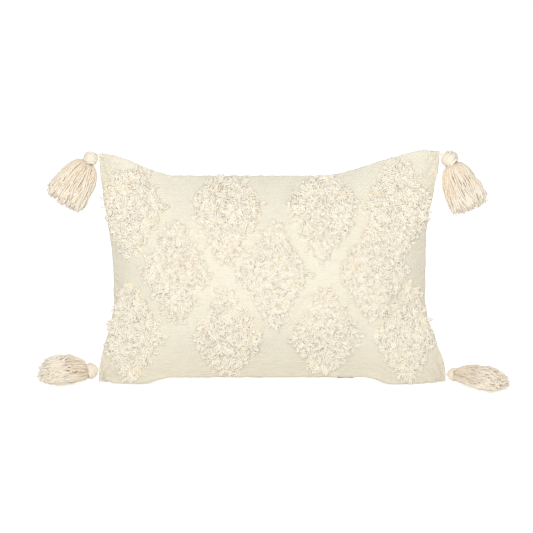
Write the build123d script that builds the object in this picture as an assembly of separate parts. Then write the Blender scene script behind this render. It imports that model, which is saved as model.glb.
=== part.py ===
from build123d import *
import os
from math import cos, radians, sin

# Lumbar throw pillow, standing on its lower long edge, in millimetres.
# X runs along the long side, Y from front to back and Z up. The cushion is drawn about its seam
# plane, y = 0, and the whole model is moved at the end so that its box is centred over the origin.

# Stuffed cover: the seam line seen from the front
TOP_LEFT = (-233.5, 322.0)
TOP_RIGHT = (238.0, 325.0)
BOTTOM_LEFT_X = -239.0
BOTTOM_RIGHT_X = 252.0
WAIST_LEFT_X = -216.0
WAIST_RIGHT_X = 221.0
WAIST_LOW_Z = 118.0
WAIST_LEFT_HIGH_Z = 150.0
WAIST_RIGHT_HIGH_Z = 200.0
TOP_MIDDLE_Z = 293.0
TOP_FLAT_LEFT_X = -120.0
TOP_FLAT_RIGHT_X = 60.0
ARCH_RISE = 10.0
ARCH_FLAT_X = 132.0
FOOT_X = 180.0

# Stuffed cover: loft on each side of the seam plane
HALF_LOFT = 69.0
SEAM_HALF = 2.2
FOOT_HALF = 21.0
FOOT_FADE = 0.15
SIDE_POWER = 2.8
TOP_POWER = 2.2
FOOT_POWER = 8.0

# Layers, measured along Y, and how far each layer's outline stands in from the seam line
COVER_CLOTH = 1.5
SEAM_ALLOWANCE = 4.0
CAVITY_LIFT = 1.8
LAYER_GAP = 0.7
LINING_CLOTH = 0.8
INSERT_INSET = 9.0
INSERT_LIFT = 15.0
LINING_SEAM = 3.0
FILL_GAP = 0.6

# Tuft medallions: cut-pile pads on the front panel
TUFT_GAP = 0.3
TUFT_HEIGHT = 12.0
TUFT_MARGIN = 3.0
MEDALLION_HALF_WIDTH = 48.0
MEDALLION_HALF_HEIGHT = 70.0
MEDALLION_SHOULDER = (0.52, 0.55)
MEDALLION_TIP = (0.16, 0.94)
MEDALLION_ROWS = {
    "a": (252.0, (-190.0, -57.0, 76.0, 188.0)),
    "b": (165.0, (-126.0, 8.0, 146.0)),
    "c": (75.0, (-193.0, -57.0, 80.0, 196.0)),
}

# Concealed zip in the middle of the bottom seam
ZIP_HALF = 130.0
SLIT_HALF = 1.0
TAPE_Z = 12.3
TAPE_CLOTH = 0.6
TAPE_INNER_Y = 1.5
TAPE_OUTER_Y = 13.0
COIL_INNER_Y = 0.7
COIL_SIDE = 2.3
COIL_ROUND = 0.7
SLIDER_REST_X = 119.0
SLIDER_LENGTH = 9.0
SLIDER_PLATE = 1.4
SLIDER_HALF_WIDTH = 5.2
SLIDER_FLANGE = 1.7
SLIDER_GAP = 0.4
SLIDER_ROUND = 1.5
FLANGE_SHORT = 3.0
POST_HALF_Y = 0.4
POST_LENGTH = 5.0
POST_LAP = 0.6
STAPLE_LENGTH = 2.4
STAPLE_SHORT = 0.2
BAIL_LOW_Z = 5.2
BAIL_HALF_Y = 1.1
BAIL_HOLE_RADIUS = 1.0
BAIL_WALL = 1.0
PULL_PIN_RADIUS = 0.8
PULL_LENGTH = 23.0
PULL_EYE = 2.0
PULL_WIDTH = 7.0
PULL_THICK = 1.2
PULL_ROUND = 2.4
PULL_WINDOW = (3.6, 6.0)
PULL_SIDE_ROOM = 0.5
PULL_TILT = 3.0

# Tassels: a loop caught in the corner, a knot on the loop's far end, and a skirt.
# corner and knot are points in the cushion's frame, and lean and yaw turn the skirt's axis:
# lean is its angle below the horizontal, yaw its angle towards the front.
LOOP_RADIUS = 1.5
LOOP_START = 1.9
SOCKET_DEPTH = 4.0
SOCKET_GAP = 0.35
SLOT_HALF_ANGLE = 45.0
SKIRT_GAP = 0.2
SKIRT_BELLY = 0.68
SKIRT_SHOULDER = (0.6, 0.4)
SKIRT_BROW_ANGLE = 50.0
FLOOR_GAP = 0.2
TASSELS = {
    "top_left": {
        "corner": (-233.5, 0.0, 321.0), "knot": (-245.5, 0.0, 316.5), "knot_radius": 10.4,
        "side": -1, "lean": 53.0, "yaw": 0.0, "neck": 7.0, "skirt_radius": 26.0, "skirt_length": 69.0,
    },
    "top_right": {
        "corner": (238.6, 0.0, 323.0), "knot": (252.4, 0.0, 315.8), "knot_radius": 12.3,
        "side": 1, "lean": 65.0, "yaw": 0.0, "neck": 7.5, "skirt_radius": 26.0, "skirt_length": 66.0,
    },
    "bottom_left": {
        "corner": (-239.4, 0.0, 17.6), "knot": (-251.6, 0.0, 17.6), "knot_radius": 10.4,
        "side": -1, "lean": -1.0, "yaw": 25.0, "neck": 7.0, "skirt_radius": 24.0, "skirt_length": 70.0,
    },
    "bottom_right": {
        "corner": (252.4, 0.0, 10.2), "knot": (264.2, 0.0, 10.2), "knot_radius": 9.6,
        "side": 1, "lean": -3.0, "yaw": 40.0, "neck": 6.5, "skirt_radius": 24.0, "skirt_length": 78.0,
    },
}

# The cushion's faces are smooth surfaces through a grid of points over this rectangle
GRID_X = (-268.0, 268.0, 45)
GRID_Z = (-12.0, 340.0, 29)
BEHIND = 150.0
MESH_STEP = 0.1


def ease(t):
    """Smooth step from 0 to 1."""
    t = min(max(t, 0.0), 1.0)
    return t * t * (3.0 - 2.0 * t)


def steps(low, high, count):
    return [low + (high - low) * i / (count - 1) for i in range(count)]


def top_z(x):
    """Height of the top seam: level in the middle, rising to both corners."""
    if x < 0:
        rise, reach = TOP_LEFT[1] - TOP_MIDDLE_Z, (TOP_FLAT_LEFT_X - x) / (TOP_FLAT_LEFT_X - TOP_LEFT[0])
    else:
        rise, reach = TOP_RIGHT[1] - TOP_MIDDLE_Z, (x - TOP_FLAT_RIGHT_X) / (TOP_RIGHT[0] - TOP_FLAT_RIGHT_X)
    return TOP_MIDDLE_Z + rise * ease(reach)


def bottom_z(x):
    """Height of the bottom seam: on the floor near the corners, arched between them."""
    return ARCH_RISE * (1.0 - ease((abs(x) - ARCH_FLAT_X) / (FOOT_X - ARCH_FLAT_X)))


def side_x(z, waist, waist_high_z, top, bottom):
    """A side seam: drawn in at the waist, out at both corners."""
    upper = (top[0] - waist) * ease((z - waist_high_z) / (top[1] - waist_high_z))
    lower = (bottom - waist) * ease((WAIST_LOW_Z - z) / WAIST_LOW_Z)
    return waist + upper + lower


def left_x(z):
    return side_x(z, WAIST_LEFT_X, WAIST_LEFT_HIGH_Z, TOP_LEFT, BOTTOM_LEFT_X)


def right_x(z):
    return side_x(z, WAIST_RIGHT_X, WAIST_RIGHT_HIGH_Z, TOP_RIGHT, BOTTOM_RIGHT_X)


def half_loft(x, z):
    """Distance of the cover's outer face from the seam plane."""
    across = abs(2.0 * (x - left_x(z)) / (right_x(z) - left_x(z)) - 1.0)
    up = (z - bottom_z(x)) / (top_z(x) - bottom_z(x))
    crown = (1.0 - across**SIDE_POWER) * (1.0 - abs(2.0 * up - 1.0) ** TOP_POWER)
    foot = (1.0 - across**FOOT_POWER) * max(1.0 - up / FOOT_FADE, 0.0) ** 2
    return SEAM_HALF + HALF_LOFT * crown + FOOT_HALF * foot


def front_surface(depth):
    """The front face of the layer that lies this far under the cover's outer face."""
    rows = [
        [Vector(x, -(half_loft(x, z) - depth), z) for z in steps(*GRID_Z)]
        for x in steps(*GRID_X)
    ]
    return Face.make_surface_from_array_of_points(rows, tol=0.01)


def outline(inset, lift):
    """The seam line as a face in the seam plane, this far in at the sides and top, and up at the foot."""
    low_left = Vector(BOTTOM_LEFT_X + inset, 0, lift)
    low_right = Vector(BOTTOM_RIGHT_X - inset, 0, lift)
    high_left = Vector(TOP_LEFT[0] + inset, 0, TOP_LEFT[1] - inset)
    high_right = Vector(TOP_RIGHT[0] - inset, 0, TOP_RIGHT[1] - inset)
    arch = [Vector(x, 0, bottom_z(x) + lift) for x in steps(-FOOT_X, FOOT_X, 25)]
    right = [Vector(right_x(z) - inset, 0, z) for z in steps(lift, high_right.Z, 13)[1:-1]]
    top = [Vector(x, 0, top_z(x) - inset) for x in steps(high_right.X, high_left.X, 19)[1:-1]]
    left = [Vector(left_x(z) + inset, 0, z) for z in steps(high_left.Z, lift, 13)[1:-1]]
    edges = [
        Line(low_left, arch[0]),
        Spline(*arch, tangents=[(1, 0, 0), (1, 0, 0)]),
        Line(arch[-1], low_right),
        Spline(low_right, *right, high_right),
        Spline(high_right, *top, high_left),
        Spline(high_left, *left, low_left),
    ]
    return Face(Wire(edges))


def half_body(depth, inset, lift, front):
    """Solid between the seam plane and a layer's face, on the front or on the back."""
    under = Solid.extrude(front_surface(depth), Vector(0, 2 * BEHIND, 0))
    prism = Solid.extrude(outline(inset, lift), Vector(0, -BEHIND, 0))
    body = prism & under
    return body if front else body.mirror(Plane.XZ)


def panel(outer, inner, front):
    """A cloth shell: the outer half body less the inner one, each given as depth, inset and lift."""
    return half_body(*outer, front) - half_body(*inner, front)


def slit():
    """The room between the cover's lips along the zip."""
    return Pos(0, 0, TAPE_Z / 2) * Box(2 * ZIP_HALF, 2 * SLIT_HALF, TAPE_Z + 2 * CAVITY_LIFT)


def cover_panel(front):
    outer = (0.0, 0.0, 0.0)
    inner = (COVER_CLOTH, SEAM_ALLOWANCE, CAVITY_LIFT)
    return panel(outer, inner, front) - slit()


def insert_panel(front):
    depth = COVER_CLOTH + LAYER_GAP
    outer = (depth, INSERT_INSET, INSERT_LIFT)
    inner = (depth + LINING_CLOTH, INSERT_INSET + LINING_SEAM, INSERT_LIFT + LINING_CLOTH)
    return panel(outer, inner, front)


def fibre_fill():
    depth = COVER_CLOTH + LAYER_GAP + LINING_CLOTH + FILL_GAP
    shape = (depth, INSERT_INSET + LINING_SEAM + FILL_GAP, INSERT_LIFT + LINING_CLOTH + FILL_GAP)
    return half_body(*shape, True) + half_body(*shape, False)


def medallion_face(x, z):
    """A pointed lozenge with full shoulders, about its centre in the seam plane."""
    shoulder_x, shoulder_z = MEDALLION_SHOULDER
    tip_x, tip_z = MEDALLION_TIP
    quarter = [(0.0, 1.0), (tip_x, tip_z), (shoulder_x, shoulder_z), (1.0, 0.0)]
    lower = [(u, -v) for u, v in reversed(quarter[:-1])]
    right = quarter + lower
    whole = right + [(-u, v) for u, v in reversed(right[1:-1])]
    points = [
        Vector(x + u * MEDALLION_HALF_WIDTH, 0, z + v * MEDALLION_HALF_HEIGHT)
        for u, v in whole
    ]
    return Face(Wire([Spline(*points, periodic=True)]))


def tuft_medallions():
    """Pads of cut pile, each following the front panel, kept inside the seam line."""
    near = front_surface(-TUFT_GAP)
    slab = Solid.extrude(near, Vector(0, -TUFT_HEIGHT, 0))
    room = Solid.extrude(outline(TUFT_MARGIN, TUFT_MARGIN), Vector(0, -BEHIND, 0))
    slab = slab & room
    pads = {}
    for row, (z, centres) in MEDALLION_ROWS.items():
        for number, x in enumerate(centres, 1):
            prism = Solid.extrude(medallion_face(x, z), Vector(0, -BEHIND, 0))
            pads[f"tuft_medallion_{row}{number}"] = prism & slab
    return pads


def zip_tape(side):
    width = TAPE_OUTER_Y - TAPE_INNER_Y
    middle = side * (TAPE_INNER_Y + TAPE_OUTER_Y) / 2
    return Pos(0, middle, TAPE_Z + TAPE_CLOTH / 2) * Box(2 * ZIP_HALF, width, TAPE_CLOTH)


def coil_bottom_z():
    return TAPE_Z + TAPE_CLOTH


def zip_coil(side):
    """One row of the coil, as the rounded bar that holds its turns."""
    bar = Box(2 * (ZIP_HALF - STAPLE_LENGTH), COIL_SIDE, COIL_SIDE)
    bar = fillet(bar.edges().filter_by(Axis.X), COIL_ROUND)
    return Pos(0, side * (COIL_INNER_Y + COIL_SIDE / 2), coil_bottom_z() + COIL_SIDE / 2) * bar


def zip_end_stops():
    """A bar tack across both coils at the closed end, and a moulded box at the open end."""
    width = 2 * (COIL_INNER_Y + COIL_SIDE)
    stop = Box(STAPLE_LENGTH - STAPLE_SHORT, width, COIL_SIDE)
    z = coil_bottom_z() + COIL_SIDE / 2
    return [Pos(end * (ZIP_HALF - STAPLE_LENGTH / 2), 0, z) * stop for end in (-1, 1)]


def zip_slider():
    """Plate and flanges over the coils, a post between them, and a bail under the seam."""
    coil_top = coil_bottom_z() + COIL_SIDE
    plate_low = coil_top + SLIDER_GAP
    plate = Box(SLIDER_LENGTH, 2 * SLIDER_HALF_WIDTH, SLIDER_PLATE)
    plate = fillet(plate.edges().filter_by(Axis.Z), SLIDER_ROUND)
    body = Pos(0, 0, plate_low + SLIDER_PLATE / 2) * plate
    flange_low = coil_bottom_z() + SLIDER_GAP
    flange_height = plate_low - flange_low
    for side in (-1, 1):
        y = side * (SLIDER_HALF_WIDTH - SLIDER_FLANGE / 2)
        flange = Box(SLIDER_LENGTH - FLANGE_SHORT, SLIDER_FLANGE, flange_height)
        body += Pos(0, y, flange_low + flange_height / 2) * flange
    post_low = ARCH_RISE - POST_LAP
    post = Box(POST_LENGTH, 2 * POST_HALF_Y, plate_low - post_low)
    body += Pos(0, 0, (plate_low + post_low) / 2) * post
    bail_height = post_low - BAIL_LOW_Z
    bail = Box(POST_LENGTH, 2 * BAIL_HALF_Y, bail_height)
    bail -= Pos(0, 0, -bail_height / 2 + BAIL_WALL + BAIL_HOLE_RADIUS) * hole_along_y(BAIL_HOLE_RADIUS)
    body += Pos(0, 0, BAIL_LOW_Z + bail_height / 2) * bail
    return Pos(SLIDER_REST_X, 0, 0) * body


def hole_along_y(radius):
    return Rot(90, 0, 0) * Cylinder(radius, 4 * BAIL_HALF_Y)


def pull_pivot():
    return Vector(SLIDER_REST_X, 0, BAIL_LOW_Z + BAIL_WALL + BAIL_HOLE_RADIUS)


def zip_pull():
    """A flat tab with a window round the bail and a pin through its hole, stored lying towards -X."""
    window_x, window_y = PULL_WINDOW
    tab = Box(PULL_LENGTH, PULL_WIDTH, PULL_THICK)
    tab = fillet(tab.edges().filter_by(Axis.Z), PULL_ROUND)
    tab = Pos(-PULL_LENGTH / 2 + PULL_EYE, 0, 0) * tab
    tab -= Box(2 * window_x, 2 * (BAIL_HALF_Y + PULL_SIDE_ROOM), 2 * PULL_THICK)
    pin = Rot(90, 0, 0) * Cylinder(PULL_PIN_RADIUS, window_y)
    pull = tab + pin
    pivot = pull_pivot()
    return Pos(pivot.X, pivot.Y, pivot.Z) * Rot(0, -PULL_TILT, 0) * pull


def skirt_axis(tassel):
    lean, yaw = radians(tassel["lean"]), radians(tassel["yaw"])
    return Vector(tassel["side"] * cos(lean) * cos(yaw), -cos(lean) * sin(yaw), -sin(lean))


def loop_axis(tassel):
    return (Vector(*tassel["knot"]) - Vector(*tassel["corner"])).normalized()


def swing_pivot(tassel):
    return Vector(*tassel["corner"]) + loop_axis(tassel) * LOOP_START


def sway_pivot(tassel):
    return Vector(*tassel["knot"]) - loop_axis(tassel) * (tassel["knot_radius"] - SOCKET_DEPTH)


def ball(centre, radius):
    return Pos(centre.X, centre.Y, centre.Z) * Sphere(radius)


def tassel_loop(tassel):
    """A short round cord with a ball at each pivot."""
    start, end = swing_pivot(tassel), sway_pivot(tassel)
    shaft = Solid.make_cylinder(LOOP_RADIUS, (end - start).length, Plane(start, z_dir=end - start))
    return shaft + ball(start, LOOP_RADIUS) + ball(end, LOOP_RADIUS)


def loop_socket(tassel):
    """The slot in the knot that lets the loop's cord swing fore and aft about the far pivot."""
    radius = LOOP_RADIUS + SOCKET_GAP
    reach = 2.0 * tassel["knot_radius"]
    back = -loop_axis(tassel)
    turn = radians(SLOT_HALF_ANGLE)
    rim = [(reach * cos(turn), -reach * sin(turn)), (1.5 * reach, 0), (reach * cos(turn), reach * sin(turn))]
    sweep = offset(Polygon((0, 0), *rim, align=None), radius)
    plane = Plane(sway_pivot(tassel), x_dir=back, z_dir=back.cross(Vector(0, 1, 0)))
    return extrude(plane * sweep, amount=radius, both=True)


def tassel_knot(tassel):
    return ball(Vector(*tassel["knot"]), tassel["knot_radius"]) - loop_socket(tassel)


def tassel_skirt(tassel):
    """Strands as one flared body: narrow at the knot, widest near its rounded end."""
    length, wide, neck = tassel["skirt_length"], tassel["skirt_radius"], tassel["neck"]
    hollow = tassel["knot_radius"] + SKIRT_GAP
    start = (hollow**2 - neck**2) ** 0.5
    belly, end = start + SKIRT_BELLY * length, start + length
    out, along = SKIRT_SHOULDER
    shoulder = (neck + out * (wide - neck), 0, start + along * (belly - start))
    seat = (neck / 2, 0, (hollow**2 - neck**2 / 4) ** 0.5)
    rise = end - belly
    cap_radius = (wide**2 + rise**2) / (2 * rise)
    turn = radians(SKIRT_BROW_ANGLE)
    brow = (cap_radius * cos(turn), 0, end - cap_radius + cap_radius * sin(turn))
    profile = Face(Wire([
        ThreePointArc((0, 0, hollow), seat, (neck, 0, start)),
        ThreePointArc((neck, 0, start), shoulder, (wide, 0, belly)),
        ThreePointArc((wide, 0, belly), brow, (0, 0, end)),
        Line((0, 0, end), (0, 0, hollow)),
    ]))
    body = Plane(Vector(*tassel["knot"]), z_dir=skirt_axis(tassel)) * revolve(profile, Axis.Z)
    knot = tassel["knot"]
    if knot[2] < length:
        body = body & Pos(knot[0], knot[1], FLOOR_GAP + length) * Box(4 * length, 4 * length, 2 * length)
    return body


def pillow():
    """Every node of the pillow, by name, in the cushion's own frame."""
    parts = {
        "cover_front_panel": cover_panel(True),
        "cover_back_panel": cover_panel(False),
        "insert_front_panel": insert_panel(True),
        "insert_back_panel": insert_panel(False),
        "fibre_fill": fibre_fill(),
        "zip_tape_front": zip_tape(-1),
        "zip_tape_back": zip_tape(1),
        "zip_coil_front": zip_coil(-1),
        "zip_coil_back": zip_coil(1),
        "zip_end_stops": Compound(children=zip_end_stops()),
        "zip_slider": zip_slider(),
        "zip_pull": zip_pull(),
    }
    parts.update(tuft_medallions())
    for corner, tassel in TASSELS.items():
        parts[f"tassel_loop_{corner}"] = tassel_loop(tassel)
        parts[f"tassel_knot_{corner}"] = tassel_knot(tassel)
        parts[f"tassel_skirt_{corner}"] = tassel_skirt(tassel)
    return parts


def centring_shift(parts):
    """The move that puts the middle of the model's box over the origin."""
    points = [tuple(point) for shape in parts.values() for point in shape.tessellate(MESH_STEP)[0]]
    middle = [(min(values) + max(values)) / 2 for values in zip(*points)]
    return Vector(-middle[0], -middle[1], 0)


def main():
    os.makedirs("parts", exist_ok=True)
    parts = pillow()
    shift = centring_shift(parts)
    for name, shape in parts.items():
        export_step(Pos(shift.X, shift.Y, 0) * shape, f"parts/{name}.step")
    print("cushion moved by", shift)


main()
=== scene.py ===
"""A throw pillow: a bulging cotton cover with tufted medallions, four corner tassels and a zip."""
import math

import bpy
import numpy as np
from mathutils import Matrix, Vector


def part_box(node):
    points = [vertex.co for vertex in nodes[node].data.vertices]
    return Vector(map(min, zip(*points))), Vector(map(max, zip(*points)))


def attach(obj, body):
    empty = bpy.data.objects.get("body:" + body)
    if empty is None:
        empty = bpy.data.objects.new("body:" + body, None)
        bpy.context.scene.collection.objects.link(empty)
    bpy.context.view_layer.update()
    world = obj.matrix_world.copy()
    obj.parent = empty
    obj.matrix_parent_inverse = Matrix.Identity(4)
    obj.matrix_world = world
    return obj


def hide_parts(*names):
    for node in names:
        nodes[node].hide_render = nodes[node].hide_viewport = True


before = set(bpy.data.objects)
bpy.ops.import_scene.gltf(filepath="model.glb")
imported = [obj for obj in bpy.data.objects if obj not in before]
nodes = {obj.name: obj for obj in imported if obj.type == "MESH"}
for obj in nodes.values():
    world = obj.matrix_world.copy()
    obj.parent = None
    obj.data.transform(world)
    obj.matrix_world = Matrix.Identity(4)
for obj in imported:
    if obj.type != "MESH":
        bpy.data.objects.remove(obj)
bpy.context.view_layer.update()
bpy.context.scene.view_settings.view_transform = "Standard"

# Lengths are in mm, except bump distances, the floor, lights and camera, which are in metres.
MM = 0.001
SHIFT = np.array([-5.31154, 6.23625, 0.0])  # from the cushion's own frame to the shared one
TOP_LEFT = (-233.5, 322.0)
TOP_RIGHT = (238.0, 325.0)
TOP_MIDDLE = 293.0
LEFT_EAR = dict(start=126.0, run=103.0, rise=29.8)
RIGHT_EAR = dict(start=70.0, run=150.0, rise=33.0)
HORN = dict(x=216.0, width=13.0, rise=2.4)
BOTTOM_LIFT = 10.0
BOTTOM_LIFTED_HALF = 132.0
BOTTOM_RUN = 48.0
LEFT_SIDE = dict(waist=-216.0, high=150.0, bottom=-239.0)
RIGHT_SIDE = dict(waist=221.0, high=200.0, bottom=252.0)
FLARE_TOP = 120.0
FLARE_RUN = 116.0
HALF_LOFT = 69.0
CROWN_ACROSS = 2.8
CROWN_UP = 2.2
SEAM_HALF = 0.15
FOOT_HALF = 22.0
FOOT_SHARE = 0.15
ZIP_HALF = 130.0
COVER_CLOTH = 0.9
PAD_CLOTH = 0.5
CORNERS = ((-237.0, 8.0), (250.0, 4.0), TOP_LEFT, TOP_RIGHT)
ROWS = {
    "a": (252.0, (-190.0, -57.0, 76.0, 182.0)),
    "b": (165.0, (-126.0, 8.0, 146.0)),
    "c": (75.0, (-193.0, -57.0, 80.0, 196.0)),
}
# x and z along the one long yarn end
LOOSE_YARN = ((64, 140), (52, 136), (44, 126), (37, 113), (33, 101), (27, 93), (15, 89))
MEDALLION_HALF = (48.0, 70.0)
# share of the half height, and the share of the half width there
MEDALLION_SHAPE = ((0.0, 0.55, 0.94, 1.0), (1.0, 0.52, 0.16, 0.0))
SEAM_ROOM = dict(side=5, top=6, bottom=9)  # from a tuft to the seam


# ---- shape of the cushion, with the front towards -Y ----

def ease(t):
    """A smooth step from 0 to 1 while t runs from 0 to 1."""
    t = np.clip(t, 0.0, 1.0)
    return t * t * (3.0 - 2.0 * t)


def ripple(s, seed, wavelength):
    """A smooth random wave along s, between about -1 and 1."""
    source = np.random.default_rng(seed)
    total = np.zeros_like(s, dtype=float)
    for _ in range(7):
        length = wavelength * source.uniform(0.6, 1.9)
        total += source.uniform(0.5, 1.0) * np.sin(2 * np.pi * s / length + source.uniform(0, 6.28))
    return total / 3.0


def lumps(s, t, seed, size):
    """A smooth random field over s and t, between about -1 and 1."""
    table = np.random.default_rng(seed).uniform(-1, 1, (64, 64))
    a, b = s / size + 400.0, t / size + 400.0
    i, j = np.floor(a).astype(int), np.floor(b).astype(int)
    fa, fb = ease(a - i), ease(b - j)
    low = table[i % 64, j % 64] * (1 - fa) + table[(i + 1) % 64, j % 64] * fa
    high = table[i % 64, (j + 1) % 64] * (1 - fa) + table[(i + 1) % 64, (j + 1) % 64] * fa
    return low * (1 - fb) + high * fb


def top_z(x):
    """Height of the top seam: nearly level in the middle, with an ear at each end."""
    left = LEFT_EAR["rise"] * ease((-LEFT_EAR["start"] - x) / LEFT_EAR["run"])
    right = RIGHT_EAR["rise"] * ease((x - RIGHT_EAR["start"]) / RIGHT_EAR["run"])
    horn = HORN["rise"] * np.exp(-((x - HORN["x"]) / HORN["width"]) ** 2)
    return TOP_MIDDLE + np.where(x < -30, left, right) + horn + 0.5 * ripple(x, 11, 26.0)


def bottom_z(x):
    """Height of the bottom seam: the bulge lifts its middle, and its ends lie on the ground."""
    lift = BOTTOM_LIFT * (1 - ease((np.abs(x) - BOTTOM_LIFTED_HALF) / BOTTOM_RUN))
    return lift + 0.35 * ripple(x, 12, 30.0)


def side_x(z, side, top, seed):
    """x of a side seam: drawn in at the waist, running out to the corners above and below."""
    waist, high, bottom = side["waist"], side["high"], side["bottom"]
    upper = (top[0] - waist) * ease((z - high) / (top[1] - high))
    lower = (bottom - waist) * ease((FLARE_TOP - z) / FLARE_RUN)
    return waist + upper + lower + 0.6 * ripple(z, seed, 24.0)


def left_x(z):
    return side_x(z, LEFT_SIDE, TOP_LEFT, 13)


def right_x(z):
    return side_x(z, RIGHT_SIDE, TOP_RIGHT, 14)


def half_loft(across, up):
    """Half the cushion's depth; across and up run from 0 to 1."""
    edge = np.abs(2 * across - 1)
    body = HALF_LOFT * (1 - edge ** CROWN_ACROSS) * (1 - np.abs(2 * up - 1) ** CROWN_UP)
    foot = FOOT_HALF * (1 - edge ** 8) * np.maximum(1 - up / FOOT_SHARE, 0.0) ** 2
    return SEAM_HALF + body + foot


def outline_point(across, up):
    """x and z of a share of the way across and up, found in a few rounds from a first guess."""
    z = up * 310.0
    for _ in range(6):
        left, right = left_x(z), right_x(z)
        x = left + across * (right - left)
        low, high = bottom_z(x), top_z(x)
        z = low + up * (high - low)
    return x, z


def shares(x, z):
    """The share of the way across and up of a point of the front."""
    left, right = left_x(z), right_x(z)
    low, high = bottom_z(x), top_z(x)
    return (x - left) / (right - left), (z - low) / (high - low)


def distance_run(points, axis):
    """Distance along one axis of an array of points, 0 at its start."""
    steps = np.linalg.norm(np.diff(points, axis=axis), axis=-1)
    return np.cumsum(np.insert(steps, 0, 0.0, axis=axis), axis=axis)


def resample(points, count):
    """The same line through count points at even distances."""
    steps = distance_run(points, 0)
    even = np.linspace(0.0, steps[-1], count)
    return np.stack([np.interp(even, steps, points[:, k]) for k in range(3)], axis=1)


def soften(points, sigma):
    """Rounds a line, with its ends kept, over sigma points."""
    reach = int(3 * sigma)
    kernel = np.exp(-0.5 * (np.arange(-reach, reach + 1) / sigma) ** 2)
    kernel /= kernel.sum()
    before = 2 * points[0] - points[reach:0:-1]
    after = 2 * points[-1] - points[-2:-reach - 2:-1]
    padded = np.vstack([before, points, after])
    return np.stack([np.convolve(padded[:, k], kernel, "valid") for k in range(3)], axis=1)


def across_steps(count):
    """Shares of the way across whose points lie at even distances over the bulge."""
    dense = np.linspace(0.0, 1.0, 1200)
    x, z = outline_point(dense, np.full_like(dense, 0.5))
    y = half_loft(dense, 0.5)
    steps = np.r_[0.0, np.cumsum(np.hypot(np.diff(x), np.diff(y)))]
    return np.interp(np.linspace(0.0, steps[-1], count), steps, dense)


def skin(columns, rows):
    """Grid of points of one half of the cushion, rows from the bottom seam up, y positive."""
    share = across_steps(columns)
    up = np.linspace(0.0, 1.0, 260)
    grid = np.zeros((rows, columns, 3))
    for c, a in enumerate(share):
        x, z = outline_point(np.full_like(up, a), up)
        y = half_loft(a, up)
        gap = SEAM_HALF + 0.85 * ease((ZIP_HALF + 3 - abs(x[0])) / 5.0)
        foot = np.linspace(min(gap, y[0] * 0.6), y[0], 40)[:-1]
        strip = np.stack([np.full_like(foot, x[0]), foot, np.full_like(foot, z[0])], axis=1)
        line = np.vstack([strip, np.stack([x, y, z], axis=1)])
        line = soften(resample(line, 500), 5.0)
        grid[:, c] = resample(line, rows)
    return grid


def normals_of(grid):
    """Unit normals of a grid of points."""
    along = np.gradient(grid, axis=1)
    up = np.gradient(grid, axis=0)
    normal = np.cross(up, along)
    return normal / np.maximum(np.linalg.norm(normal, axis=2, keepdims=True), 1e-9)


def edge_distance(grid):
    """Distance to the nearest seam over the surface, and the arc lengths across and up."""
    s, t = distance_run(grid, 1), distance_run(grid, 0)
    nearest = np.minimum(np.minimum(s, s[:, -1:] - s), np.minimum(t, t[-1:] - t))
    return nearest, s, t


def edge_fade(grid, width):
    """0 at the seams, rising to 1 at this distance from them."""
    return ease(edge_distance(grid)[0] / width)


# ---- meshes ----

def new_piece(
    name, points, faces, material, body="cushion", stands_for=(), attributes=None, place=True
):
    """A mesh object from points and arrays of faces; place takes them from the cushion's own frame."""
    row = (points.reshape(-1, 3) + (SHIFT if place else 0.0)) * MM
    mesh = bpy.data.meshes.new(name)
    mesh.vertices.add(len(row))
    mesh.vertices.foreach_set("co", row.astype(np.float32).ravel())
    sizes = np.concatenate([np.full(len(f), f.shape[1]) for f in faces])
    loops = np.concatenate([f.ravel() for f in faces])
    mesh.loops.add(len(loops))
    mesh.loops.foreach_set("vertex_index", loops.astype(np.int32))
    mesh.polygons.add(len(sizes))
    mesh.polygons.foreach_set("loop_start", np.r_[0, np.cumsum(sizes)[:-1]].astype(np.int32))
    mesh.update(calc_edges=True)
    mesh.polygons.foreach_set("use_smooth", np.ones(len(sizes), bool))
    for key, values in (attributes or {}).items():
        kind, field = ("FLOAT_VECTOR", "vector") if values.ndim == 2 else ("FLOAT", "value")
        data = mesh.attributes.new(key, kind, "POINT").data
        data.foreach_set(field, values.astype(np.float32).ravel())
    obj = bpy.data.objects.new(name, mesh)
    bpy.context.scene.collection.objects.link(obj)
    mesh.materials.append(material)
    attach(obj, body)
    if stands_for:
        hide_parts(*stands_for)
    return obj


def grid_faces(rows, columns, start=0, flip=False):
    """The quads between the points of a grid, numbered from start."""
    index = np.arange(rows * columns).reshape(rows, columns) + start
    quads = np.stack([index[:-1, :-1], index[:-1, 1:], index[1:, 1:], index[1:, :-1]], axis=-1).reshape(-1, 4)
    return quads[:, ::-1] if flip else quads


def shell(outer, inner):
    """Points and faces of the closed solid between two grids."""
    rows, columns = outer.shape[:2]
    count = rows * columns
    index = np.arange(count).reshape(rows, columns)
    ring = np.concatenate([index[0, :-1], index[:-1, -1], index[-1, :0:-1], index[:0:-1, 0]])
    after = np.roll(ring, -1)
    rim = np.stack([after, ring, ring + count, after + count], axis=1)
    faces = [grid_faces(rows, columns), grid_faces(rows, columns, count, flip=True), rim]
    return np.vstack([outer.reshape(-1, 3), inner.reshape(-1, 3)]), faces


def mirror(points, faces, side):
    """A half made with y positive, put on its side: 1 the back, -1 the front, with the faces outward."""
    if side > 0:
        return points, [f[:, ::-1] for f in faces]
    return points * np.array([1.0, -1.0, 1.0]), faces


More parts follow.
